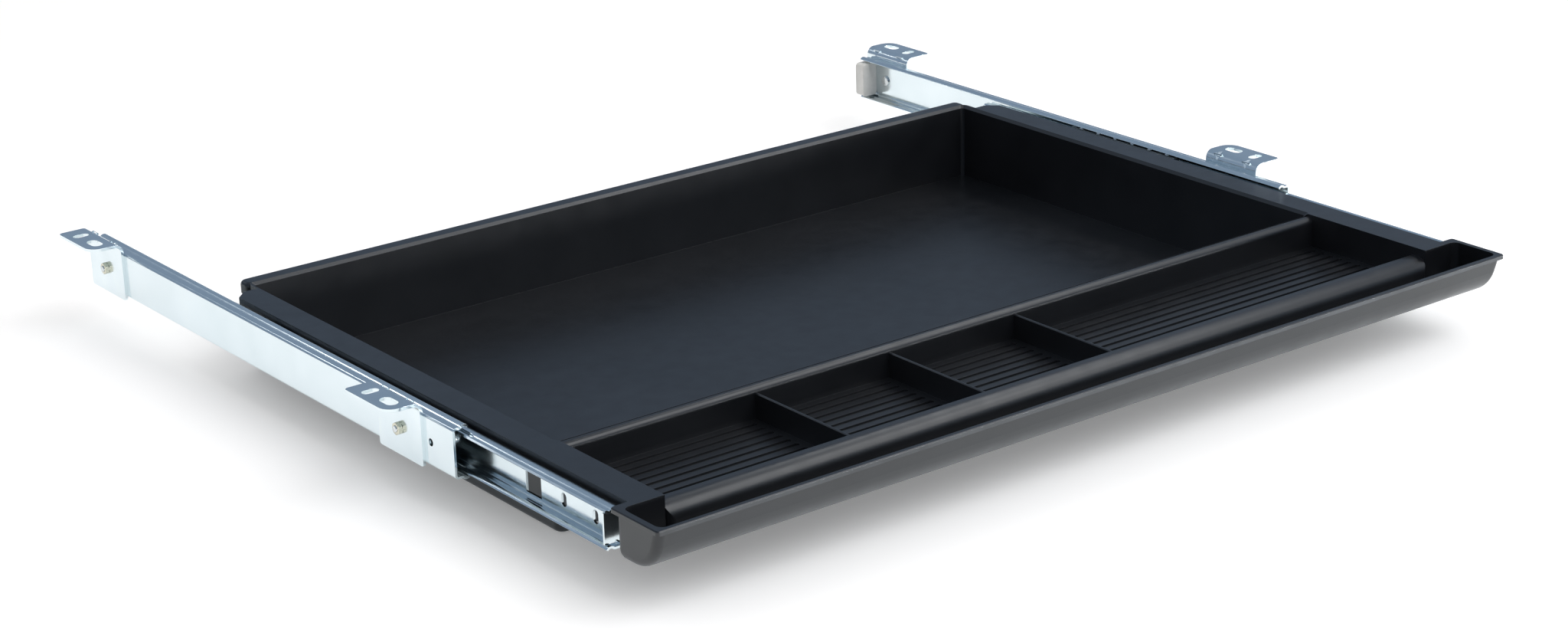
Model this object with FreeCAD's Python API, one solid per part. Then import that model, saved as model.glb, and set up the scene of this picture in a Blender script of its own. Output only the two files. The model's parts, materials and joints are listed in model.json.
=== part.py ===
"""Centre desk drawer: a moulded pencil drawer on a pair of ball slides that hang from the desk by four brackets.

Millimetres, X to the right, Y to the rear, Z up. The origin is on the underside of the desk top, in the middle of the
four brackets. The drawer is drawn pulled out part way, as far as drawer_open says.
"""
import FreeCAD, Part
import math
import os

V = FreeCAD.Vector

# Brackets
bracket_length = 41.0        # along the slide
bracket_reach = 19.6         # how far the top leaf reaches out from the slide
bracket_height = 33.6
bracket_sheet = 1.6
bracket_bend = 3.4           # inner radius of the bend
bracket_corner = 2.5
bracket_lead_corner = 8.0    # the large corner at one end of the top leaf
bracket_foot_corner = 1.5
long_slot = 12.0
long_slot_width = 6.6
cross_slot = 9.4
cross_slot_width = 5.2
slot_line = 11.4             # from the slide's back to the middle of the slots
slot_gap = 17.5              # between the middles of the two slots
dart_spacing = 23.0          # between the two stiffening darts of a bend
dart_width = 3.6             # across a dart's mouth on the outside of the bend
dart_depth = 1.3

# Ball slides
rail_length = 385.0
rail_ahead = 47.5            # outer rail's front end to the front bracket's centre
rail_behind = 17.5           # rear bracket's centre to the outer rail's rear end
rail_sheet = 1.2
slide_thickness = 12.7
slide_drop = 19.1            # from the desk to the slide's centre line
ball_radius = 1.75
ball_play = 0.1
ball_height = 11.1           # ball centres above and below the centre line
ball_count = 6
ball_pitch = 15.0
ball_sides = 12              # round its middle, where the ball is a fine many-sided body
race_rise = 1.5              # from the ball's centre to the flat of a rail's lip
race_blend = 0.2
race_end = 35.0              # degrees up from level where a race ends
rail_bend = 0.8              # inner radius of a rail's bends
cage_sheet = 0.7
cage_bend = 0.3
cage_gap = 1.5               # cage to the outer rail's web
cage_lip = 5.5
cage_end = 7.5               # cage past its last ball
bumper_length = 7.7
bumper_height = 22.0
inner_rail_short = 8.0       # how much shorter the inner rail is
pilot_radius = 2.0           # hole near the outer rail's front end
pilot_back = 21.0
rail_slot_height = 7.0
rail_slot_width = 4.2
rail_slot_first = 19.0       # from the inner rail's front end
rail_slot_pitch = 26.0
rail_slot_count = 2
window_back = 64.0
window_length = 13.0
window_height = 12.0
window_drop = 1.5            # windows and slots lie this far below the centre line
tab_back = 2.0               # the tab bent in at the inner rail's front end
tab_height = 15.6
tab_reach = 7.0

# Fasteners
bolt_radius = 1.75
bolt_head = 1.1
bolt_head_radius = 3.5
bolt_past_nut = 0.6
nut_width = 6.0
nut_height = 2.4
hole_play = 0.15
thread_play = 0.05
screw_radius = 1.6
screw_head_radius = 3.4
screw_head = 2.2
screw_head_chamfer = 1.2
screw_depth = 11.0
screw_first = 140.0          # from the inner rail's front end
screw_pitch = 97.0
screw_count = 3

# Drawer
drawer_open = 122.0          # how far it is pulled out here
drawer_drop = 6.1            # from the desk to the drawer's top
wall = 2.5
bin_width = 507.0
bin_length = 296.5
bin_depth = 45.5
bin_draft = 1.0
corner = 2.5
edge_break = 1.6
bar_width = 5.0
bar_drop = 1.6
bar_front_round = 3.4
bar_rear_round = 1.0
pencil_length = 73.0
pencil_depth = 18.3
roll_width = 12.5
roll_drop = 4.4
roll_round = 8.5
roll_rear_round = 1.5
roll_ahead = 2.5             # the roll stands this far in front of the flanges
roll_end_round = 4.0
first_box = 114.3            # left wall to the first divider's middle
middle_box = 84.8
divider_count = 3
divider = 1.6
divider_break = 0.5
groove_count = 10
groove_pitch = 6.75
groove_width = 2.6
groove_depth = 1.1
groove_border = 4.0
flange_width = 17.2
flange_play = 1.1            # flange's edge to the inner rail
flange_length = 377.5        # from the front of the wall behind the trough
flange_cut = 6.5             # across the rear outer corners
skirt = 4.8
rim_depth = 11.2
rim_height = 7.0
rim_over = 1.0
rim_corner = 4.0
rail_setback = 11.1          # that wall's front to the inner rail's front end
boss_radius = 5.0
rib = 2.0

# Finger trough and fascia
trough_width = 27.0
fascia_wall = 2.2
fascia_depth = 24.2
fascia_lean = 0.3            # inward per unit of depth
fascia_round = 20.0
heel_round = 5.0
end_overhang = 8.5           # end wall past the flange's edge
end_round = 4.0
lip = 1.2
lip_height = 2.4
lip_front = 0.5
lip_rear = 7.5
lip_corner = 2.0
lip_break = 0.5

# Places that follow
top = -drawer_drop
axis_z = -slide_drop
half_bin = bin_width / 2
half_flange = half_bin + flange_width
half_end = half_flange + end_overhang
rail_back = half_flange + flange_play              # the inner rail's face on the drawer
slide_x = rail_back + slide_thickness              # the outer rail's face on its brackets
bracket_pitch = rail_length - rail_ahead - rail_behind
rail_front = -bracket_pitch / 2 - rail_ahead
inner_front = rail_front - drawer_open
inner_length = rail_length - inner_rail_short
y_trough = inner_front - rail_setback              # front of the wall behind the trough
y_pencil = y_trough + roll_width
y_bar = y_pencil + pencil_length
y_bin = y_bar + bar_width
y_rear = y_bin + bin_length
y_fascia = y_trough - trough_width                 # inner side of the fascia at its top
z_pencil = top - pencil_depth
z_bin = top - bin_depth
screw_places = [inner_front + screw_first + i * screw_pitch for i in range(screw_count)]


def box(x0, x1, y0, y1, z0, z1):
    """A box from its six faces."""
    return Part.makeBox(x1 - x0, y1 - y0, z1 - z0, V(x0, y0, z0))


def fused(shapes):
    """All the shapes as one solid."""
    return shapes[0].multiFuse(shapes[1:]).removeSplitter()


def save(name, shape):
    """Writes one piece."""
    shape.exportStep("parts/" + name + ".step")


def on_both_sides(name, shape):
    """Writes a left piece and its mirror image on the right."""
    save("left_" + name, shape)
    save("right_" + name, shape.mirror(V(0, 0, 0), V(1, 0, 0)))


def plan(points, z0, z1):
    """A prism on a plan outline. A point's third value rounds that corner."""
    edges, ends = [], []
    for i, point in enumerate(points):
        here = V(point[0], point[1], z0)
        if len(point) < 3:
            ends.append((here, here))
            continue
        before, after = points[i - 1], points[(i + 1) % len(points)]
        back = (V(before[0], before[1], z0) - here).normalize()
        ahead = (V(after[0], after[1], z0) - here).normalize()
        half = back.getAngle(ahead) / 2
        reach = point[2] / math.tan(half)
        middle = here + (back + ahead).normalize() * (point[2] / math.sin(half) - point[2])
        ends.append((here + back * reach, here + ahead * reach))
        edges.append(Part.Arc(ends[-1][0], middle, ends[-1][1]).toShape())
    for i, (_, start) in enumerate(ends):
        end = ends[(i + 1) % len(ends)][0]
        if start.distanceToPoint(end) > 1e-6:
            edges.append(Part.makeLine(start, end))
    return Part.Face(Part.Wire(Part.__sortEdges__(edges))).extrude(V(0, 0, z1 - z0))


def side_plan(points, x0, x1):
    """A prism along X on an outline of (y, z) points, rounded like a plan."""
    return plan(points, 0, x1 - x0).transformed(FreeCAD.Matrix(0, 0, 1, x0, 1, 0, 0, 0, 0, 1, 0, 0))


def block(half_width, y0, y1, z0, z1, radius):
    """A plan rectangle about the middle plane with round corners."""
    return plan([(-half_width, y0, radius), (half_width, y0, radius), (half_width, y1, radius),
                 (-half_width, y1, radius)], z0, z1)


def tapered(half_width, y0, y1, z0, z1, shrink, radius):
    """A block that is smaller by shrink all round at its lower end z0."""
    wires = [block(half_width - d, y0 + d, y1 - d, z, z + 1, radius).Faces for d, z in ((shrink, z0), (0, z1))]
    ends = [min(faces, key=lambda face: face.CenterOfMass.z).OuterWire for faces in wires]
    return Part.makeLoft(ends, True, True)


def slot(x, y, along_x, along_y, z0, z1):
    """A vertical slot with round ends, or with a flat side each way of the same size."""
    radius = min(along_x, along_y) / 2
    dx, dy = along_x / 2 - radius, along_y / 2 - radius
    body = box(x - max(dx, radius), x + max(dx, radius), y - max(dy, radius), y + max(dy, radius), z0, z1)
    return fused([body] + [Part.makeCylinder(radius, z1 - z0, V(x + s * dx, y + s * dy, z0)) for s in (-1, 1)])


def groove(x0, x1, y, width, z0, z1):
    """A straight groove between x0 and x1, its ends cut to three flats."""
    half, flat = width / 2, width / 2 * (2 - math.sqrt(2))
    outline = [(x0, y - half + flat), (x0 + flat, y - half), (x1 - flat, y - half), (x1, y - half + flat),
               (x1, y + half - flat), (x1 - flat, y + half), (x0 + flat, y + half), (x0, y + half - flat)]
    return plan(outline, z0, z1)


def ring(sides, radius, x, y, z):
    """A level closed outline of equal sides about a point, its corners at the radius."""
    turns = [2 * math.pi * i / sides for i in range(sides + 1)]
    return Part.makePolygon([V(x + radius * math.cos(a), y + radius * math.sin(a), z) for a in turns])


def ribbon(path, sheet, length, start):
    """Sheet bent along a (u, v) path of lines and arcs, u inward from the left slide's back, drawn along Y."""
    sides = []
    for side in (sheet / 2, -sheet / 2):
        edges = []
        for kind, *rest in path:
            if kind == "line":
                p, q = V(rest[0][0], 0, rest[0][1]), V(rest[1][0], 0, rest[1][1])
                d = (q - p).normalize()
                normal = V(-d.z, 0, d.x) * side
                edges.append(Part.makeLine(p + normal, q + normal))
            else:
                (cu, cv), radius, a0, a1 = rest
                reach = radius - side * math.copysign(1, a1 - a0)
                spots = [V(cu + reach * math.cos(math.radians(a)), 0, cv + reach * math.sin(math.radians(a)))
                         for a in (a0, (a0 + a1) / 2, a1)]
                edges.append(Part.Arc(*spots).toShape())
        sides.append(edges)
    caps = [Part.makeLine(sides[0][0].Vertexes[0].Point, sides[1][0].Vertexes[0].Point),
            Part.makeLine(sides[0][-1].Vertexes[-1].Point, sides[1][-1].Vertexes[-1].Point)]
    face = Part.Face(Part.Wire(Part.__sortEdges__(sides[0] + sides[1] + caps)))
    face.translate(V(-slide_x, start, axis_z))
    return face.extrude(V(0, length, 0))


def both_halves(half):
    """A slide's section above its centre line together with the same below."""
    return fused([half, half.mirror(V(0, 0, axis_z), V(0, 0, 1))])


def across(radius, u0, u1, y, z=axis_z):
    """A cylinder along X at the left slide, from u0 to u1 inward of its back."""
    return Part.makeCylinder(radius, u1 - u0, V(-slide_x + u0, y, z), V(1, 0, 0))


def web_cut(u0, u1, y, length, height, z):
    """A cut with round ends through a rail's web, upright where height is the greater."""
    cut = slot(0, 0, height, length, u0, u1)
    cut.rotate(V(0, 0, 0), V(0, 1, 0), 90)
    cut.translate(V(-slide_x, y, z))
    return cut


# Each rail's lip rises to the ball in a small bend and then follows the ball
race = ball_radius + ball_play + rail_sheet / 2
blend = race_blend + rail_sheet / 2
bend = rail_bend + rail_sheet / 2
race_angle = math.degrees(math.acos((race_rise + blend) / (race + blend)))
race_side = (race + blend) * math.sin(math.radians(race_angle))
ball_u = slide_thickness / 2


def outer_rail():
    """The channel on the brackets: its lips arch over the outer side of the balls."""
    web, level = rail_sheet / 2, ball_height + race_rise
    foot = ball_u - race_side
    rail = both_halves(ribbon([
        ("line", (web, 0), (web, level - bend)),
        ("arc", (web + bend, level - bend), bend, 180, 90),
        ("line", (web + bend, level), (foot, level)),
        ("arc", (foot, level + blend), blend, -90, race_angle - 90),
        ("arc", (ball_u, ball_height), race, 90 + race_angle, race_end)], rail_sheet, rail_length, rail_front))
    holes = [across(bolt_radius + hole_play, -1, rail_sheet + 1, s * bracket_pitch / 2) for s in (-1, 1)]
    holes.append(across(pilot_radius, -1, rail_sheet + 1, rail_front + pilot_back))
    return rail.cut(holes)


def inner_rail():
    """The channel on the drawer: its lips cradle the inner side of the balls."""
    web, level = slide_thickness - rail_sheet / 2, ball_height - race_rise
    foot = ball_u + race_side
    rail = both_halves(ribbon([
        ("line", (web, 0), (web, level - bend)),
        ("arc", (web - bend, level - bend), bend, 0, 90),
        ("line", (web - bend, level), (foot, level)),
        ("arc", (foot, level - blend), blend, 90, 90 + race_angle),
        ("arc", (ball_u, ball_height), race, race_angle - 90, race_end - 180)],
        rail_sheet, inner_length, inner_front))
    u0, u1 = slide_thickness - rail_sheet, slide_thickness
    z = axis_z - window_drop
    cuts = [across(screw_radius + hole_play, u0 - 1, u1 + 1, y) for y in screw_places]
    for i in range(rail_slot_count):
        y = inner_front + rail_slot_first + i * rail_slot_pitch
        cuts.append(web_cut(u0 - 1, u1 + 1, y, rail_slot_width, rail_slot_height, z))
    cuts.append(box(u0 - 1 - slide_x, u1 + 1 - slide_x, inner_front + window_back,
                    inner_front + window_back + window_length, z - window_height / 2, z + window_height / 2))
    tab_y, half = inner_front + tab_back, tab_height / 2
    cuts.append(box(u0 - 1 - slide_x, u1 + 1 - slide_x, inner_front - 1, tab_y, axis_z - half, axis_z + half))
    tab = box(u0 - tab_reach - slide_x, u0 - slide_x, tab_y, tab_y + rail_sheet, axis_z - half, axis_z + half)
    return fused([rail.cut(cuts), tab])


def cage_balls():
    """The Y places of one row of balls. The cage runs half as far as the drawer."""
    middle = rail_front + rail_length / 2 - drawer_open / 2
    return [middle + (i - (ball_count - 1) / 2) * ball_pitch for i in range(ball_count)]


def ball_cage():
    """The thin channel that spaces both rows of balls."""
    web, radius = rail_sheet + cage_gap + cage_sheet / 2, cage_bend + cage_sheet / 2
    rows = cage_balls()
    start = rows[0] - cage_end
    cage = both_halves(ribbon([
        ("line", (web, 0), (web, ball_height - radius)),
        ("arc", (web + radius, ball_height - radius), radius, 180, 90),
        ("line", (web + radius, ball_height), (web + cage_lip, ball_height))],
        cage_sheet, rows[-1] + cage_end - start, start))
    pocket = (ball_radius + ball_play / 2) / math.cos(math.pi / ball_sides)
    rings = [ring(ball_sides, pocket, ball_u - slide_x, y, axis_z - ball_height - 1) for y in rows]
    return cage.cut([Part.Face(outline).extrude(V(0, 0, 2 * ball_height + 2)) for outline in rings])


def ball(x, y, z):
    """A ball as a many-sided body: flat facets between four level rings, and a flat at each pole."""
    levels = [math.radians(degrees) for degrees in (-67.5, -22.5, 22.5, 67.5)]
    rings = [ring(ball_sides, ball_radius * math.cos(a), x, y, z + ball_radius * math.sin(a)) for a in levels]
    corners = [[edge.Vertexes[0].Point for edge in outline.OrderedEdges] for outline in rings]
    faces = [Part.Face(rings[0]), Part.Face(rings[-1])]
    for low, high in zip(corners, corners[1:]):
        for i in range(ball_sides):
            faces.append(Part.Face(Part.makePolygon([low[i - 1], low[i], high[i], high[i - 1], low[i - 1]])))
    shell = Part.makeShell(faces)
    shell.sewShape()
    return Part.makeSolid(shell)


def ball_row(side):
    """One row of balls, above the centre line or below it."""
    return Part.makeCompound([ball(ball_u - slide_x, y, axis_z + side * ball_height) for y in cage_balls()])


def bumper():
    """The nylon stop at the outer rail's rear end, which meets the inner rail's end."""
    end = rail_front + rail_length
    half = bumper_height / 2
    stop = box(rail_sheet - slide_x, slide_thickness - slide_x, end - bumper_length, end, axis_z - half, axis_z + half)
    rounded = [e for e in stop.Edges if abs(e.BoundBox.YLength) > bumper_length / 2]
    return stop.makeFillet(corner, rounded)


def dart(x, y, z, depth, half_width, length):
    """A wedge along the slope of a left bracket's bend, its edge at that depth below the bend's crown at (x, y, z)."""
    slope, inward = V(-1, 0, 1).normalize(), V(-1, 0, -1).normalize()
    start = V(x, y, z) - slope * (length / 2)
    over = depth / 2
    side = V(0, half_width * (depth + over) / depth, 0)
    corners = [start + inward * depth, start - inward * over - side, start - inward * over + side,
               start + inward * depth]
    return Part.Face(Part.makePolygon(corners)).extrude(slope * length)


def bracket():
    """The left front bracket: a sheet angle with a long and a cross slot, and two darts pressed across its bend."""
    radius = bracket_bend + bracket_sheet / 2
    s = bracket_sheet / 2
    h, front = slide_drop - s, -bracket_pitch / 2 - bracket_length / 2
    angle = ribbon([
        ("line", (-s, slide_drop - bracket_height), (-s, h - radius)),
        ("arc", (-s - radius, h - radius), radius, 0, 90),
        ("line", (-s - radius, h), (-bracket_reach, h))], bracket_sheet, bracket_length, front)
    upright = [e for e in angle.Edges if e.BoundBox.ZLength > s and e.BoundBox.YLength < s
               and e.BoundBox.XMax < -slide_x - bracket_reach + s]
    upright.sort(key=lambda e: e.CenterOfMass.y)
    angle = angle.makeFillet(bracket_lead_corner, upright[:1])
    upright = [e for e in angle.Edges if e.BoundBox.ZLength > s and e.BoundBox.YLength < 1e-3
               and e.BoundBox.XMax < -slide_x - bracket_reach + s and e.CenterOfMass.y > front + bracket_length / 2]
    angle = angle.makeFillet(bracket_corner, upright)
    feet = [e for e in angle.Edges if e.BoundBox.XLength > s and e.BoundBox.YLength < 1e-3
            and e.BoundBox.ZMax < -bracket_height + s]
    angle = angle.makeFillet(bracket_foot_corner, feet)
    middle = front + bracket_length / 2
    crown = (radius + s) * (1 - math.sqrt(0.5))    # the bend's outer face at 45 degrees
    ribs, grooves = [], []
    for y in (middle - dart_spacing / 2, middle + dart_spacing / 2):
        for shapes, depth, half in ((grooves, dart_depth, dart_width / 2),
                                    (ribs, dart_depth + bracket_sheet, dart_width / 2 + bracket_sheet / 2)):
            shapes.append(dart(-slide_x - crown, y, -crown, depth, half, 2 * bracket_bend))
    inside = box(-slide_x - bracket_reach, -slide_x - s, front, front + bracket_length, -bracket_height, -s)
    angle = fused([angle] + [r.common(inside) for r in ribs]).cut(grooves)
    x = -slide_x - slot_line
    cuts = [slot(x, middle - slot_gap / 2, long_slot_width, long_slot, -bracket_sheet - 1, 1),
            slot(x, middle + slot_gap / 2, cross_slot, cross_slot_width, -bracket_sheet - 1, 1),
            across(bolt_radius + hole_play, -bracket_sheet - 1, 1, middle)]
    return angle.cut(cuts)


def bolt():
    """A flat-headed bolt through the outer rail and the left front bracket."""
    y, tip = -bracket_pitch / 2, -bracket_sheet - nut_height - bolt_past_nut
    return fused([across(bolt_radius, tip, rail_sheet, y),
                  across(bolt_head_radius, rail_sheet, rail_sheet + bolt_head, y)])


def nut():
    """The hexagon nut on that bolt."""
    y, outer = -bracket_pitch / 2, -bracket_sheet - nut_height
    hexagon = Part.Face(ring(6, nut_width / 2 / math.cos(math.pi / 6), 0, 0, 0)).extrude(V(0, 0, nut_height))
    hexagon.rotate(V(0, 0, 0), V(0, 1, 0), 90)
    hexagon.translate(V(outer - slide_x, y, axis_z))
    return hexagon.cut(across(bolt_radius + thread_play, outer - 1, 1, y))


def rail_screws():
    """The pan-headed screws that hold the left inner rail to the bosses of the drawer."""
    screws = []
    seat = slide_thickness - rail_sheet
    for y in screw_places:
        head = across(screw_head_radius, seat - screw_head, seat, y)
        outer = [e for e in head.Edges if e.BoundBox.XMax < seat - screw_head + 0.1 - slide_x]
        head = head.makeChamfer(screw_head_chamfer, outer)
        shank = across(screw_radius, seat - 0.2, slide_thickness + screw_depth, y)
        screws.append(fused([head, shank]))
    return Part.makeCompound(screws)


def finger_trough():
    """The trough in front of the pencil tray: a curved fascia with end walls, and a lip round its mouth."""
    rear = y_trough + roll_ahead
    face, back, floor = y_fascia - fascia_wall, rear + wall, top - fascia_depth
    outer = side_plan([(face, top), (face + fascia_lean * fascia_depth, floor, fascia_round),
                       (back, floor, heel_round), (back, top)], -half_end, half_end)
    outer = outer.makeFillet(end_round, end_edges(outer, back, top))
    rim = block(half_end + lip, face - lip_front, y_trough + lip_rear, top - lip_height, top, lip_corner)
    rim = rim.makeChamfer(lip_break, [e for e in rim.Edges if e.BoundBox.ZMin > top - 1e-3])
    depth = fascia_depth - fascia_wall
    room = side_plan([(y_fascia, top + 1), (y_fascia, top),
                      (y_fascia + fascia_lean * depth, top - depth, fascia_round - fascia_wall),
                      (rear, top - depth, heel_round), (rear, top + 1)],
                     fascia_wall - half_end, half_end - fascia_wall)
    room = room.makeFillet(end_round, end_edges(room, rear, top + 1))
    behind_roll = box(-half_bin, half_bin, rear, y_trough + lip_rear + 1, top - depth, top + 1)
    return outer.fuse(rim).cut([room, behind_roll])


def end_edges(prism, rear, upper):
    """The edges round the two ends of a prism along X, save those at its rear and its top."""
    return [e for e in prism.Edges if e.BoundBox.XLength < 1e-3 and e.BoundBox.YMin < rear - 1e-3
            and e.BoundBox.ZMin < upper - 1e-3]


def flanges():
    """The side flanges with the skirts along their outer edges."""
    y_start, y_end = y_trough + roll_ahead, y_trough + flange_length
    pieces = []
    for s in (-1, 1):
        pieces.append(plan([(s * half_bin, y_start), (s * half_flange, y_start),
                            (s * half_flange, y_end - flange_cut), (s * (half_flange - flange_cut), y_end),
                            (s * half_bin, y_end)], top - wall, top))
        x0, x1 = sorted((s * half_flange, s * (half_flange - rib)))
        pieces.append(box(x0, x1, y_start, y_end - flange_cut, top - skirt, top))
    return pieces


def rear_rim():
    """The rolled rim behind the bin."""
    half, rear = half_bin + wall + rim_over, y_rear + rim_depth
    rim = block(half, y_rear, rear, top - rim_height, top, rim_corner)
    rim = rim.makeFillet(corner, [e for e in rim.Edges if e.BoundBox.ZMin > top - 1e-3 and e.BoundBox.YMin > rear - 1e-3])
    return rim.cut(box(rib - half, half - rib, y_rear + wall, rear - rib, top - rim_height - 1, top - wall))


def rail_bosses():
    """The bosses behind the inner rails, each under a rib, and the pilot holes for their screws."""
    bosses, holes = [], []
    root, inside = half_bin + wall / 2, half_flange - rib / 2
    for y in screw_places:
        for s in (-1, 1):
            bosses.append(Part.makeCylinder(boss_radius, rail_back - root, V(s * rail_back, y, axis_z), V(-s, 0, 0)))
            x0, x1 = sorted((s * root, s * inside))
            bosses.append(box(x0, x1, y - rib / 2, y + rib / 2, axis_z, top - wall / 2))
            holes.append(Part.makeCylinder(screw_radius + thread_play, screw_depth + 1.5,
                                           V(s * (rail_back + 1), y, axis_z), V(-s, 0, 0)))
    return bosses, holes


def pencil_grooves():
    """The fields of pencil grooves in the four floors between the dividers."""
    walls = [-half_bin] + divider_places() + [half_bin]
    cuts = []
    for i, (left, right) in enumerate(zip(walls, walls[1:])):
        x0 = left + groove_border + (divider / 2 if i else 0)
        x1 = right - groove_border - (divider / 2 if right < half_bin else 0)
        for k in range(groove_count):
            y = y_pencil + pencil_length / 2 + (k - (groove_count - 1) / 2) * groove_pitch
            cuts.append(groove(x0, x1, y, groove_width, z_pencil - groove_depth, z_pencil + 0.5))
    return cuts


def divider_places():
    """The X of each divider's middle."""
    return [-half_bin + first_box + i * middle_box for i in range(divider_count)]


def front_roll(crest, floor):
    """The roll between trough and pencil boxes: a hollow ridge, its front corners rounded."""
    within, behind = half_bin - roll_end_round, y_pencil - wall
    ridge = side_plan([(y_trough, floor), (y_trough, crest, roll_round), (y_pencil, crest, roll_rear_round),
                       (y_pencil, z_pencil - wall / 2), (behind, z_pencil - wall), (behind, floor)],
                      -half_bin, half_bin)
    outline = plan([(-half_bin, y_trough, roll_end_round), (half_bin, y_trough, roll_end_round),
                    (half_bin, y_pencil), (-half_bin, y_pencil)], floor - 1, crest + 1)
    hollow = side_plan([(y_trough + wall, floor - 1), (y_trough + wall, crest - wall, corner),
                        (behind, crest - wall, corner), (behind, floor - 1)], -within, within)
    return ridge.common(outline).cut(hollow)


def drawer_tray():
    """The moulding: bin, pencil tray with its roll and dividers, flanges, rims and finger trough in one piece."""
    side = half_bin + wall
    crest = top - roll_drop
    trough_floor = top - fascia_depth + fascia_wall
    bin_shell = block(side, y_bin - wall, y_rear + wall, z_bin - wall, top, corner + wall)
    bin_shell = bin_shell.makeFillet(corner, [e for e in bin_shell.Edges if e.BoundBox.ZMax < z_bin - wall + 1e-3])
    pencil_shell = box(-side, side, y_pencil - wall, y_bin, z_pencil - wall, top)
    bosses, holes = rail_bosses()
    body = fused([bin_shell, pencil_shell, finger_trough(), rear_rim()] + flanges() + bosses)
    bin_room = tapered(half_bin, y_bin, y_rear, z_bin, top + 1, bin_draft, corner)
    mouth = tapered(half_bin + edge_break, y_bin - edge_break, y_rear + edge_break, top - edge_break, top,
                    edge_break, corner)
    pencil_room = box(-half_bin, half_bin, y_pencil, y_bin, z_pencil, top + 1)
    over_roll = box(-half_bin, half_bin, y_trough, y_pencil, crest - roll_round, top + 1)
    beside_roll = [box(x0, x1, y_trough + roll_ahead, y_pencil, crest - wall, top)
                   for x0, x1 in ((-side, -half_bin), (half_bin, side))]
    under_roll = box(-half_bin, half_bin, y_trough + wall, y_pencil - wall, z_pencil - wall - 1, crest - wall)
    body = body.cut([bin_room, mouth, pencil_room, over_roll, under_roll] + holes)
    bar = side_plan([(y_bar, z_pencil - wall / 2), (y_bar, top - bar_drop, bar_front_round),
                     (y_bin, top - bar_drop, bar_rear_round), (y_bin, z_pencil - wall / 2)], -side, side)
    low = z_pencil - wall / 2
    dividers = []
    for x in divider_places():
        sheet = box(x - divider / 2, x + divider / 2, y_pencil - wall / 2, y_bar + wall / 2, low, crest - divider / 4)
        long_tops = [e for e in sheet.Edges if e.BoundBox.ZMin > low + 1 and e.BoundBox.YLength > divider]
        dividers.append(sheet.makeChamfer(divider_break, long_tops))
    return fused([body, front_roll(crest, trough_floor), bar] + beside_roll + dividers).cut(pencil_grooves())


os.makedirs("parts", exist_ok=True)

save("drawer_tray", drawer_tray())
on_both_sides("outer_rail", outer_rail())
on_both_sides("inner_rail", inner_rail())
on_both_sides("rail_screws", rail_screws())
on_both_sides("ball_cage", ball_cage())
on_both_sides("upper_balls", ball_row(1))
on_both_sides("lower_balls", ball_row(-1))
on_both_sides("rail_bumper", bumper())

# The four brackets are one stamping: the right ones are the left ones turned half round
for kind, piece in (("bracket", bracket()), ("bolt", bolt()), ("nut", nut())):
    rear = piece.translated(V(0, bracket_pitch, 0))
    save("left_front_" + kind, piece)
    save("left_rear_" + kind, rear)
    save("right_front_" + kind, rear.rotated(V(0, 0, 0), V(0, 0, 1), 180))
    save("right_rear_" + kind, piece.rotated(V(0, 0, 0), V(0, 0, 1), 180))
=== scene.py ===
"""Looks of the centre desk drawer: moulded black plastic and zinc-plated slides, on a white floor.

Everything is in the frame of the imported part: X to the right, Y to the rear, Z up. Places are in
metres, the sizes of fasteners, grain and eased edges in millimetres.
"""

import bpy
import json
import math
from mathutils import Matrix, Vector


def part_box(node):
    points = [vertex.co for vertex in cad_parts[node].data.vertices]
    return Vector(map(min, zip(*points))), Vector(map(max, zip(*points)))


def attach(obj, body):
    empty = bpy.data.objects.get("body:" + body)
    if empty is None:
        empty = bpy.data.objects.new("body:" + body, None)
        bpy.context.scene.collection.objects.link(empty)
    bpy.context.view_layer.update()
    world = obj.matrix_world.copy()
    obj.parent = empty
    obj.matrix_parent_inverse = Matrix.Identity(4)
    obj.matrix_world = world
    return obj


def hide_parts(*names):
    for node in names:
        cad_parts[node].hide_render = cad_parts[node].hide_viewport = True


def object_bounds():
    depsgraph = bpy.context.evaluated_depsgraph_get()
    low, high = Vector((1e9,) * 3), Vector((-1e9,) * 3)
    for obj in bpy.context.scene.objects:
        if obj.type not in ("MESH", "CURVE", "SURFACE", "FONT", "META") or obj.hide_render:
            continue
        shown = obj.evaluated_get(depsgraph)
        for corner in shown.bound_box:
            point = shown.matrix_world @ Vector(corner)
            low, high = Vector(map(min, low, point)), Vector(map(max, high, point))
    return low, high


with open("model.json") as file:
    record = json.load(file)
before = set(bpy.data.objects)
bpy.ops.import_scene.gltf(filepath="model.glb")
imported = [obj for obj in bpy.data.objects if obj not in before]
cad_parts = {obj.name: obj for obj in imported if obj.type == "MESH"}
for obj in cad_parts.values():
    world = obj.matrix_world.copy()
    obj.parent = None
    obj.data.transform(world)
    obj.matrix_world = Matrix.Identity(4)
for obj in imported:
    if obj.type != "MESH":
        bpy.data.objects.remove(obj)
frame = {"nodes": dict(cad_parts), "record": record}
cad_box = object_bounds()

BODY_OF = {node: body
           for body, nodes in frame["record"]["behaviour"]["bodies"].items() for node in nodes}

MM = 0.001
WHITE = (1, 1, 1)

# Camera
CAMERA_PLACE = (-0.98543, -1.40116, 0.54643)
CAMERA_AZIMUTH = 37.0315        # degrees from +Y towards +X
CAMERA_DIP = 20.0387            # degrees below the horizon
CAMERA_ROLL = -1.623
CAMERA_LENS = 71.443            # mm, on a sensor of CAMERA_SENSOR
CAMERA_SENSOR = 36.0
CAMERA_CLIP = (0.05, 60.0)      # nearest and farthest thing seen

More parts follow.
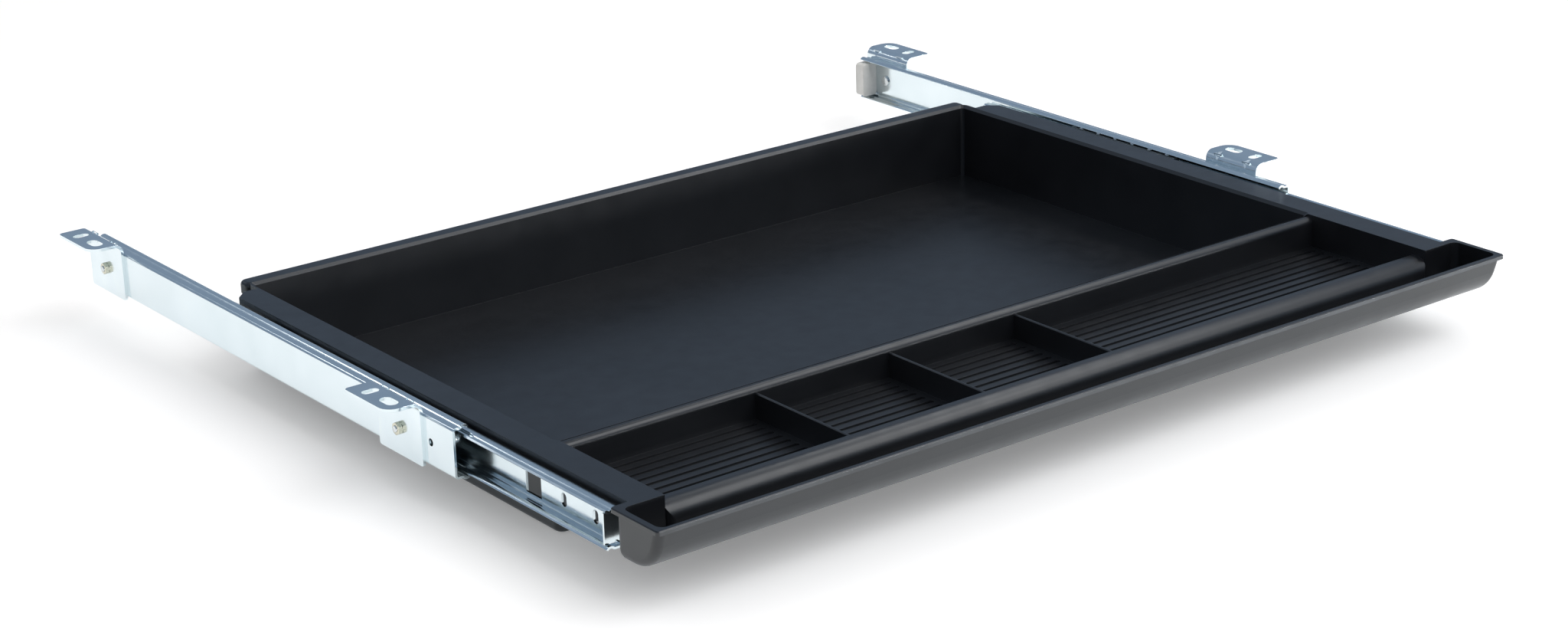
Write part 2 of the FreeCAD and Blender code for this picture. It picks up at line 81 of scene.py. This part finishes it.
# Studio
FLOOR_GAP = 1.0 * MM            # from the drawer's underside down to the floor
FLOOR_SIZE = 40.0
FLOOR_PAINT = (0.93, 0.935, 0.945)
FLOOR_LIFT = 0.18               # white that the floor shows to the camera and in reflections
FLOOR_MIRRORED = (0.055, 0.085, 0.1)    # cool light that it adds in reflections alone
WORLD_COLOUR = (1.0, 0.985, 0.975)
WORLD_LIGHT = 0.72              # the world's strength where it lights; it is white where seen
WALL_RADIUS = 4.0               # a round slate-blue wall that only shows in reflections
WALL_SIDES = 96
WALL_SPAN = (0.0, 74.0)         # degrees above the horizon
WALL_COLOUR = (0.23, 0.30, 0.40)

# Lamps: name, place, aim, size, watts, colour and whether it only shows in reflections
LAMPS = (
    ("overhead", (0.6, -1.75, 1.9), (0, -0.2, 0), (2.6, 1.7), 36.0, WHITE, False),
    ("front", (0.9, -1.9, 0.02), (0, -0.1, -0.02), (3.4, 0.14), 26.0, (0.94, 0.97, 1.0), False),
    ("front_card", (0.95, -1.9, -0.03), (0, -0.1, -0.03), (3.4, 0.04), 95.0, (0.82, 0.91, 1.0),
     True),
    ("rear_card", (-0.75, 1.75, 1.25), (0, -0.2, 0), (0.34, 0.1), 0.7, WHITE, True),
    ("right_card", (1.15, -0.1, 1.45), (0, -0.2, 0), (1.7, 0.3), 6.0, WHITE, True),
)

# Finishes: the part of the noise over which they drift, and how fine each noise is
DRIFT = (0.3, 0.7)
TONE_DETAIL = 4.0
SHEEN_DETAIL = 5.0
SHEEN_PATCH = 3.1               # patches of roughness to one patch of colour
GRAIN_DETAIL = 2.0
EDGE_SAMPLES = 6

# Detail pieces
SHARP_ANGLE = 32                # degrees between faces from which an edge stays sharp
ROUND_SIDES = 48
NUT_SIDES = 72
NUT_CHAMFER = 30                # degrees
BALL_COUNT = 6
BALL_SIDES = 32
BALL_POLE = 0.02                # radius of the flat at a ball's poles
BALL_FLAT = 22.5                # degrees from pole to rim of the flat on a constructed ball

BOLT_SHANK = 1.75               # radius
BOLT_HEAD_HEIGHT = 1.1
BOLT_HEAD_EASE = ((0, 0.5), (0.12, 0.18), (0.35, 0))    # how far in from the rim at each height
BOLT_THREAD_START = 2.4         # from under the head
BOLT_THREAD_STEP = 0.3
BOLT_THREAD_DEPTH = 0.14
BOLT_THREAD_STEPS = 12
BOLT_END = 0.35                 # chamfer at the end, and where the thread runs out
BOLT_END_HEIGHT = 0.3

SCREW_COUNT = 3
SCREW_SHANK = 1.6               # radius
SCREW_HEAD_HEIGHT = 2.2
SCREW_CROWN = (0.58, 0.42)      # flat and rounded share of the head's radius
SCREW_CROWN_STEPS = 9
SCREW_CROWN_STEP = 9            # degrees
SCREW_RIM = 0.25
SCREW_RIM_EASE = 0.1
SCREW_NECK = 1.4
SCREW_PITCH = 1.25
SCREW_THREAD_DEPTH = 0.42
SCREW_POINT = 3.0
SCREW_POINT_DEPTH = 0.4
SCREW_TIP = 0.25                # radius
RECESS_ABOVE = 0.6              # how far the cross starts above the head
RECESS_DEPTH = 1.2
RECESS_FOOT = 0.6               # share of the arm's length that is left at the bottom
RECESS_ARM = 1.9                # half an arm's length
RECESS_HALF = 0.36              # half an arm's width


def add_object(name, data):
    """An object in the scene."""
    thing = bpy.data.objects.new(name, data)
    bpy.context.scene.collection.objects.link(thing)
    return thing


def add_mesh(name, points, faces):
    """A mesh of points and faces."""
    mesh = bpy.data.meshes.new(name)
    mesh.from_pydata(points, [], faces)
    return mesh


def node_at(tree, kind, x, y, **settings):
    """A shader node with its settings, at a place in the tree's layout."""
    node = tree.nodes.new(kind)
    node.location = (x, y)
    for name, value in settings.items():
        setattr(node, name, value)
    return node


def coloured(tree, kind, x, y, colour):
    """A shader node of one colour."""
    node = node_at(tree, kind, x, y)
    node.inputs["Color"].default_value = (*colour, 1)
    return node


def added(tree, x, y, first, second):
    """The sum of two shaders."""
    both = node_at(tree, "ShaderNodeAddShader", x, y)
    tree.links.new(first.outputs[0], both.inputs[0])
    tree.links.new(second.outputs[0], both.inputs[1])
    return both


def new_material(name):
    """A node material with nothing in it yet."""
    material = bpy.data.materials.new(name)
    material.use_nodes = True
    material.node_tree.nodes.clear()
    return material, material.node_tree


def noise(tree, x, y, coords, scale, detail, stretch=None):
    """Noise in object space, scale in features per metre, stretched along an axis where asked."""
    if stretch:
        mapping = node_at(tree, "ShaderNodeMapping", x - 200, y)
        mapping.inputs["Scale"].default_value = stretch
        tree.links.new(coords, mapping.inputs["Vector"])
        coords = mapping.outputs["Vector"]
    node = node_at(tree, "ShaderNodeTexNoise", x, y)
    node.inputs["Scale"].default_value = scale
    node.inputs["Detail"].default_value = detail
    tree.links.new(coords, node.inputs["Vector"])
    return node.outputs["Fac"]


def surface(name, dark, light, rough, patch, grain, grain_depth, grain_stretch=None,
            edge=0.0, metallic=0.0, specular=0.5):
    """A finish whose colour and roughness drift in patches, with fine grain and eased edges."""
    material, tree = new_material(name)
    out = node_at(tree, "ShaderNodeOutputMaterial", 700, 0)
    shader = node_at(tree, "ShaderNodeBsdfPrincipled", 400, 0)
    shader.inputs["Metallic"].default_value = metallic
    shader.inputs["Specular IOR Level"].default_value = specular
    coords = node_at(tree, "ShaderNodeTexCoord", -900, 0).outputs["Object"]

    tone = node_at(tree, "ShaderNodeValToRGB", -200, 250)
    for element, position, colour in zip(tone.color_ramp.elements, DRIFT, (dark, light)):
        element.position = position
        element.color = (*colour, 1)
    tree.links.new(noise(tree, -500, 200, coords, patch, TONE_DETAIL), tone.inputs["Fac"])
    tree.links.new(tone.outputs["Color"], shader.inputs["Base Color"])

    sheen = node_at(tree, "ShaderNodeMapRange", -200, -50)
    sheen.inputs["From Min"].default_value, sheen.inputs["From Max"].default_value = DRIFT
    sheen.inputs["To Min"].default_value, sheen.inputs["To Max"].default_value = rough
    tree.links.new(noise(tree, -500, -50, coords, patch * SHEEN_PATCH, SHEEN_DETAIL),
                   sheen.inputs["Value"])
    tree.links.new(sheen.outputs["Result"], shader.inputs["Roughness"])

    bump = node_at(tree, "ShaderNodeBump", 100, -300)
    bump.inputs["Strength"].default_value = 1.0
    bump.inputs["Distance"].default_value = grain_depth * MM
    tree.links.new(noise(tree, -200, -300, coords, grain, GRAIN_DETAIL, grain_stretch),
                   bump.inputs["Height"])
    if edge:
        bevel = node_at(tree, "ShaderNodeBevel", -100, -500, samples=EDGE_SAMPLES)
        bevel.inputs["Radius"].default_value = edge * MM
        tree.links.new(bevel.outputs["Normal"], bump.inputs["Normal"])
    tree.links.new(bump.outputs["Normal"], shader.inputs["Normal"])
    tree.links.new(shader.outputs["BSDF"], out.inputs["Surface"])
    return material


FINISHES = {
    "tray_plastic": surface(
        "moulded_plastic", (0.0045, 0.0052, 0.0068), (0.0074, 0.0083, 0.0104), (0.29, 0.36),
        specular=0.62, patch=30.0, grain=2200.0, grain_depth=0.005, edge=0.12),
    "rail_zinc": surface(
        "rail_plate", (0.70, 0.77, 0.79), (0.77, 0.83, 0.85), (0.13, 0.19), metallic=1.0,
        patch=25.0, grain=900.0, grain_depth=0.003, grain_stretch=(1.0, 0.05, 1.0), edge=0.12),
    "bracket_zinc": surface(
        "bracket_plate", (0.71, 0.78, 0.80), (0.79, 0.85, 0.87), (0.14, 0.22), metallic=1.0,
        patch=45.0, grain=900.0, grain_depth=0.003, edge=0.15),
    "nut_zinc": surface(
        "nut_plate", (0.58, 0.55, 0.44), (0.72, 0.69, 0.56), (0.22, 0.34), metallic=1.0,
        patch=250.0, grain=2500.0, grain_depth=0.01, edge=0.25),
    "screw_zinc": surface(
        "screw_plate", (0.60, 0.62, 0.62), (0.74, 0.76, 0.76), (0.22, 0.34), metallic=1.0,
        patch=250.0, grain=2500.0, grain_depth=0.01, edge=0.25),
    "cage_steel": surface(
        "cage_strip", (0.46, 0.47, 0.46), (0.62, 0.63, 0.61), (0.28, 0.42), metallic=1.0,
        patch=90.0, grain=1800.0, grain_depth=0.01, edge=0.2),
    "ball_steel": surface(
        "polished_balls", (0.66, 0.66, 0.65), (0.78, 0.78, 0.77), (0.05, 0.09), metallic=1.0,
        patch=300.0, grain=4000.0, grain_depth=0.001),
    "stop_nylon": surface(
        "stop_nylon", (0.62, 0.62, 0.60), (0.74, 0.74, 0.72), (0.42, 0.55), specular=0.4,
        patch=120.0, grain=2500.0, grain_depth=0.02, edge=0.5),
}


def new_piece(name, points, faces, node, slot):
    """A mesh piece with its finish that stands for a CAD node and moves with its body."""
    mesh = add_mesh(name, points, faces)
    mesh.shade_smooth()
    mesh.set_sharp_from_angle(angle=math.radians(SHARP_ANGLE))
    mesh.materials.append(FINISHES[slot])
    piece = add_object(name, mesh)
    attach(piece, BODY_OF[node])
    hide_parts(node)
    return piece


def box_of(node):
    """The corners and the middle of a CAD node's box."""
    low, high = (Vector(corner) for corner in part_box(node))
    return low, high, (low + high) / 2


def add_rings(points, faces, rings):
    """Joins closed rings of equal length into a tube with flat ends."""
    start, n = len(points), len(rings[0])
    for one in rings:
        points.extend(one)
    for k in range(len(rings) - 1):
        a, b = start + k * n, start + (k + 1) * n
        faces.extend((a + i, a + (i + 1) % n, b + (i + 1) % n, b + i) for i in range(n))
    faces.append(tuple(reversed(range(start, start + n))))
    faces.append(tuple(range(start + (len(rings) - 1) * n, start + len(rings) * n)))


def turned(profile, place, outward, sides=ROUND_SIDES):
    """Rings of a round piece about the X axis: (reach outward, radius) in mm from a place."""
    rings = []
    for reach, radius in profile:
        ring = []
        for i in range(sides):
            turn = 2 * math.pi * i / sides
            ring.append((place[0] + outward * reach * MM,
                         place[1] + radius * MM * math.cos(turn),
                         place[2] + outward * radius * MM * math.sin(turn)))
        rings.append(ring)
    return rings


def nut_piece(node):
    """A hexagon nut with chamfered corners."""
    low, high, middle = box_of(node)
    flat, half = (high.y - low.y) / 2, (high.x - low.x) / 2
    slope = math.tan(math.radians(NUT_CHAMFER))

    def rim(side, kind):
        """The ring round the bore, the round face or the six corners, on one side."""
        points = []
        for i in range(NUT_SIDES):
            turn = 2 * math.pi * i / NUT_SIDES
            off = (turn + math.pi / 6) % (math.pi / 3) - math.pi / 6
            corner = flat / math.cos(math.pi / 6 - abs(off))
            reach = {"bore": BOLT_SHANK * MM, "face": flat, "corners": corner}[kind]
            fall = (corner - flat) * slope if kind == "corners" else 0
            points.append((middle.x + side * (half - fall), middle.y + reach * math.sin(turn),
                           middle.z + reach * math.cos(turn)))
        return points

    loop = [rim(-1, "bore"), rim(-1, "face"), rim(-1, "corners"),
            rim(1, "corners"), rim(1, "face"), rim(1, "bore")]
    points = [point for ring in loop for point in ring]
    faces = []
    for k in range(len(loop)):
        a, b = k * NUT_SIDES, (k + 1) % len(loop) * NUT_SIDES
        for i in range(NUT_SIDES):
            j = (i + 1) % NUT_SIDES
            faces.append((a + i, b + i, b + j, a + j))
    new_piece(node + "_chamfered", points, faces, node, "nut_zinc")


def bolt_piece(node):
    """A flat-headed bolt with an eased head and a chamfered, threaded end."""
    low, high, middle = box_of(node)
    inward = 1 if middle.x < 0 else -1
    head = high.x if inward > 0 else low.x
    length, radius = (high.x - low.x) / MM, (high.z - low.z) / 2 / MM
    profile = [(reach, radius - ease) for reach, ease in BOLT_HEAD_EASE]
    profile += [(BOLT_HEAD_HEIGHT, radius), (BOLT_HEAD_HEIGHT, BOLT_SHANK)]
    for k in range(BOLT_THREAD_STEPS):
        reach = BOLT_HEAD_HEIGHT + BOLT_THREAD_START + BOLT_THREAD_STEP * k
        if reach < length - BOLT_END:
            profile.append((reach, BOLT_SHANK - (0 if k % 2 else BOLT_THREAD_DEPTH)))
    profile += [(length - BOLT_END_HEIGHT, BOLT_SHANK), (length, BOLT_SHANK - BOLT_END)]
    points, faces = [], []
    add_rings(points, faces, turned(profile, (head, middle.y, middle.z), -inward))
    new_piece(node + "_turned", points, faces, node, "screw_zinc")


def ball_pieces(node):
    """A row of smooth balls."""
    low, high, middle = box_of(node)
    inset = (high.z - low.z) / 2
    radius = inset / math.cos(math.radians(BALL_FLAT)) / MM
    steps = BALL_SIDES // 2
    profile = [(-radius * math.cos(math.pi * j / steps), radius * math.sin(math.pi * j / steps))
               for j in range(steps + 1)]
    profile[0], profile[-1] = (profile[0][0], BALL_POLE), (profile[-1][0], BALL_POLE)
    points, faces = [], []
    for k in range(BALL_COUNT):
        y = low.y + inset + (high.y - low.y - 2 * inset) * k / (BALL_COUNT - 1)
        add_rings(points, faces, turned(profile, (middle.x, y, middle.z), 1, BALL_SIDES))
    new_piece(node + "_round", points, faces, node, "ball_steel")


def screw_profile(radius, length):
    """A pan-headed screw's (reach, radius) from the top of its head to its tip."""
    flat, crown = SCREW_CROWN
    turns = [math.radians(SCREW_CROWN_STEP * i) for i in range(SCREW_CROWN_STEPS)]
    profile = [(SCREW_HEAD_HEIGHT * (1 - math.cos(turn)), radius * (flat + crown * math.sin(turn)))
               for turn in turns]
    profile += [(SCREW_HEAD_HEIGHT - SCREW_RIM, radius),
                (SCREW_HEAD_HEIGHT, radius - SCREW_RIM_EASE),
                (SCREW_HEAD_HEIGHT, SCREW_SHANK)]
    reach = SCREW_HEAD_HEIGHT + SCREW_NECK
    while reach < length - SCREW_POINT:
        profile += [(reach, SCREW_SHANK - SCREW_THREAD_DEPTH),
                    (reach + SCREW_PITCH / 2, SCREW_SHANK)]
        reach += SCREW_PITCH
    profile += [(length - SCREW_POINT, SCREW_SHANK - SCREW_POINT_DEPTH), (length, SCREW_TIP)]
    return profile


def recess_arm(face, y, z, outward, level):
    """Rings of one arm of a driver recess, level or upright, that narrows towards its foot."""
    rings = []
    for reach, share in ((-RECESS_ABOVE, 1.0), (0.0, 1.0), (RECESS_DEPTH, RECESS_FOOT)):
        arm, half = RECESS_ARM * share * MM, RECESS_HALF * MM
        wide, tall = (arm, half) if level else (half, arm)
        rings.append([(face - outward * reach * MM, y + outward * side * wide, z + rise * tall)
                      for side, rise in ((-1, -1), (1, -1), (1, 1), (-1, 1))])
    return rings


def cut_out(piece, name, points, faces):
    """Cuts closed solids out of a piece."""
    cutter = add_object(name, add_mesh(name, points, faces))
    cut = piece.modifiers.new("recess", "BOOLEAN")
    cut.operation, cut.solver, cut.object = "DIFFERENCE", "EXACT", cutter
    cut.use_self = True
    bpy.context.view_layer.update()
    depsgraph = bpy.context.evaluated_depsgraph_get()
    shaped = bpy.data.meshes.new_from_object(piece.evaluated_get(depsgraph))
    piece.modifiers.clear()
    piece.data = shaped
    bpy.data.objects.remove(cutter)


def screw_pieces(node):
    """Pan-headed screws with a cross recess and a coarse thread."""
    low, high, middle = box_of(node)
    outward = -1 if middle.x < 0 else 1
    face = low.x if outward < 0 else high.x
    inset = (high.z - low.z) / 2
    profile = screw_profile(inset / MM, (high.x - low.x) / MM)
    points, faces, recess_points, recess_faces = [], [], [], []
    for k in range(SCREW_COUNT):
        y = low.y + inset + (high.y - low.y - 2 * inset) * k / (SCREW_COUNT - 1)
        add_rings(points, faces, turned(profile, (face, y, middle.z), -outward))
        for level in (False, True):
            add_rings(recess_points, recess_faces,
                      recess_arm(face, y, middle.z, outward, level))
    piece = new_piece(node + "_driven", points, faces, node, "screw_zinc")
    cut_out(piece, node + "_recess", recess_points, recess_faces)


DETAILS = {"_nut": nut_piece, "_bolt": bolt_piece, "_balls": ball_pieces, "_screws": screw_pieces}

for part in frame["record"]["subparts"]:
    node = frame["nodes"][part["node"]]
    node.data.materials.clear()
    node.data.materials.append(FINISHES[part["material_slot"]])

for name in sorted(BODY_OF):
    for ending, make in DETAILS.items():
        if name.endswith(ending):
            make(name)


def make_camera():
    """The camera of the product picture."""
    azimuth, dip, roll = (math.radians(a) for a in (CAMERA_AZIMUTH, CAMERA_DIP, CAMERA_ROLL))
    ahead = Vector((math.sin(azimuth) * math.cos(dip), math.cos(azimuth) * math.cos(dip),
                    -math.sin(dip)))
    level = Vector((math.cos(azimuth), -math.sin(azimuth), 0))
    upright = level.cross(ahead)
    right = level * math.cos(roll) + upright * math.sin(roll)
    up = upright * math.cos(roll) - level * math.sin(roll)
    data = bpy.data.cameras.new("camera")
    data.lens, data.sensor_width, data.sensor_fit = CAMERA_LENS, CAMERA_SENSOR, "HORIZONTAL"
    data.clip_start, data.clip_end = CAMERA_CLIP
    camera = add_object("camera", data)
    turn = Matrix((right, up, -ahead)).transposed().to_4x4()
    camera.matrix_world = Matrix.Translation(CAMERA_PLACE) @ turn
    bpy.context.scene.camera = camera


def seen_rays(tree, x, y):
    """One where a ray comes from the camera, a reflection or a see-through surface."""
    path = node_at(tree, "ShaderNodeLightPath", x, y)
    total = path.outputs["Is Camera Ray"]
    for i, kind in enumerate(("Is Glossy Ray", "Is Transmission Ray")):
        either = node_at(tree, "ShaderNodeMath", x + 200 * (i + 1), y, operation="MAXIMUM")
        tree.links.new(total, either.inputs[0])
        tree.links.new(path.outputs[kind], either.inputs[1])
        total = either.outputs[0]
    return total


def make_floor():
    """A white floor that fades into the white background and keeps the drawer's soft shadow."""
    level, half = cad_box[0].z - FLOOR_GAP, FLOOR_SIZE / 2
    corners = [(-half, -half, level), (half, -half, level), (half, half, level),
               (-half, half, level)]
    mesh = add_mesh("floor", corners, [(0, 1, 2, 3)])
    floor = add_object("floor", mesh)
    material, tree = new_material("studio_floor")
    out = node_at(tree, "ShaderNodeOutputMaterial", 600, 0)
    paint = coloured(tree, "ShaderNodeBsdfDiffuse", 0, 0, FLOOR_PAINT)
    glow = coloured(tree, "ShaderNodeEmission", 0, -150, WHITE)
    strength = node_at(tree, "ShaderNodeMath", 0, -300, operation="MULTIPLY")
    strength.inputs[1].default_value = FLOOR_LIFT
    tree.links.new(seen_rays(tree, -600, -300), strength.inputs[0])
    tree.links.new(strength.outputs[0], glow.inputs["Strength"])
    path = node_at(tree, "ShaderNodeLightPath", -600, -550)
    cool = coloured(tree, "ShaderNodeEmission", 0, -450, FLOOR_MIRRORED)
    tree.links.new(path.outputs["Is Glossy Ray"], cool.inputs["Strength"])
    lifted = added(tree, 300, 0, paint, glow)
    mirrored = added(tree, 450, -150, lifted, cool)
    tree.links.new(mirrored.outputs[0], out.inputs["Surface"])
    mesh.materials.append(material)


def make_world():
    """A pale room: white where it is seen, softer where it lights."""
    world = bpy.data.worlds.new("studio")
    bpy.context.scene.world = world
    world.use_nodes = True
    tree = world.node_tree
    tree.nodes.clear()
    out = node_at(tree, "ShaderNodeOutputWorld", 600, 0)
    seen = coloured(tree, "ShaderNodeBackground", 0, 100, WHITE)
    lit = coloured(tree, "ShaderNodeBackground", 0, -100, WORLD_COLOUR)
    lit.inputs["Strength"].default_value = WORLD_LIGHT
    mix = node_at(tree, "ShaderNodeMixShader", 300, 0)
    tree.links.new(seen_rays(tree, -600, 300), mix.inputs["Fac"])
    tree.links.new(lit.outputs[0], mix.inputs[1])
    tree.links.new(seen.outputs[0], mix.inputs[2])
    tree.links.new(mix.outputs[0], out.inputs["Surface"])


def make_walls():
    """A round wall, hidden from the camera, that darkens what faces upward, as in the picture."""
    heights = [WALL_RADIUS * math.tan(math.radians(a)) for a in WALL_SPAN]
    turns = [2 * math.pi * i / WALL_SIDES for i in range(WALL_SIDES)]
    points = [(WALL_RADIUS * math.cos(turn), WALL_RADIUS * math.sin(turn), z)
              for z in heights for turn in turns]
    faces = []
    for i in range(WALL_SIDES):
        j = (i + 1) % WALL_SIDES
        faces.append((i, j, WALL_SIDES + j, WALL_SIDES + i))
    mesh = add_mesh("studio_wall", points, faces)
    wall = add_object("studio_wall", mesh)
    material, tree = new_material("studio_wall")
    out = node_at(tree, "ShaderNodeOutputMaterial", 300, 0)
    glow = coloured(tree, "ShaderNodeEmission", 0, 0, WALL_COLOUR)
    tree.links.new(glow.outputs[0], out.inputs["Surface"])
    mesh.materials.append(material)
    wall.visible_camera = False
    wall.visible_diffuse = False
    wall.visible_shadow = False


def area_lamp(name, place, aim, size, power, colour, card):
    """A soft box that faces a point; a card only shows in reflections."""
    data = bpy.data.lights.new(name, "AREA")
    data.shape, data.size, data.size_y = "RECTANGLE", size[0], size[1]
    data.energy, data.color = power, colour
    lamp = add_object(name, data)
    lamp.location = place
    toward = Vector(aim) - Vector(place)
    lamp.rotation_euler = toward.to_track_quat("-Z", "Y").to_euler()
    lamp.visible_diffuse = not card


make_camera()
make_floor()
make_world()
make_walls()
for settings in LAMPS:
    area_lamp(*settings)

bpy.context.scene.view_settings.view_transform = "Standard"
